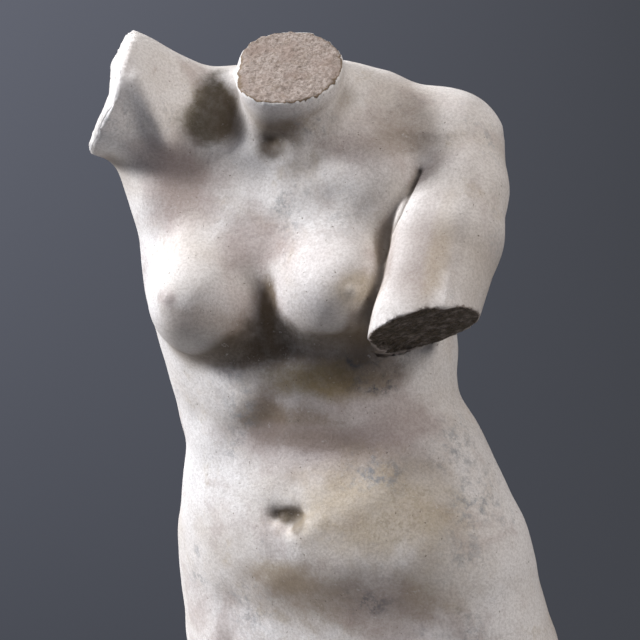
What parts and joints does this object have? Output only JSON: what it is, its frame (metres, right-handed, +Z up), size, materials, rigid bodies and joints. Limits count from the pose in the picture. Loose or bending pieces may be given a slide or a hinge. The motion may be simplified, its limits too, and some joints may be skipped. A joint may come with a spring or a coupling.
{
  "type": "venus torso on a plinth",
  "caption": "Life-size classical female torso without head or arms, in mottled cast stone, cut flat at the thighs on a plain low plinth.",
  "frame": {"origin": "middle of the plinth's underside", "axes": "+Z up, the figure faces -Y and its left side is +X"},
  "size_m": [0.456, 0.2746, 0.8501],
  "materials": {
    "cast_stone": "matte",
    "plinth_stone": "matte"
  },
  "bodies": {
    "root": {"torso": "cast_stone", "plinth": "plinth_stone"}
  },
  "joints": []
}
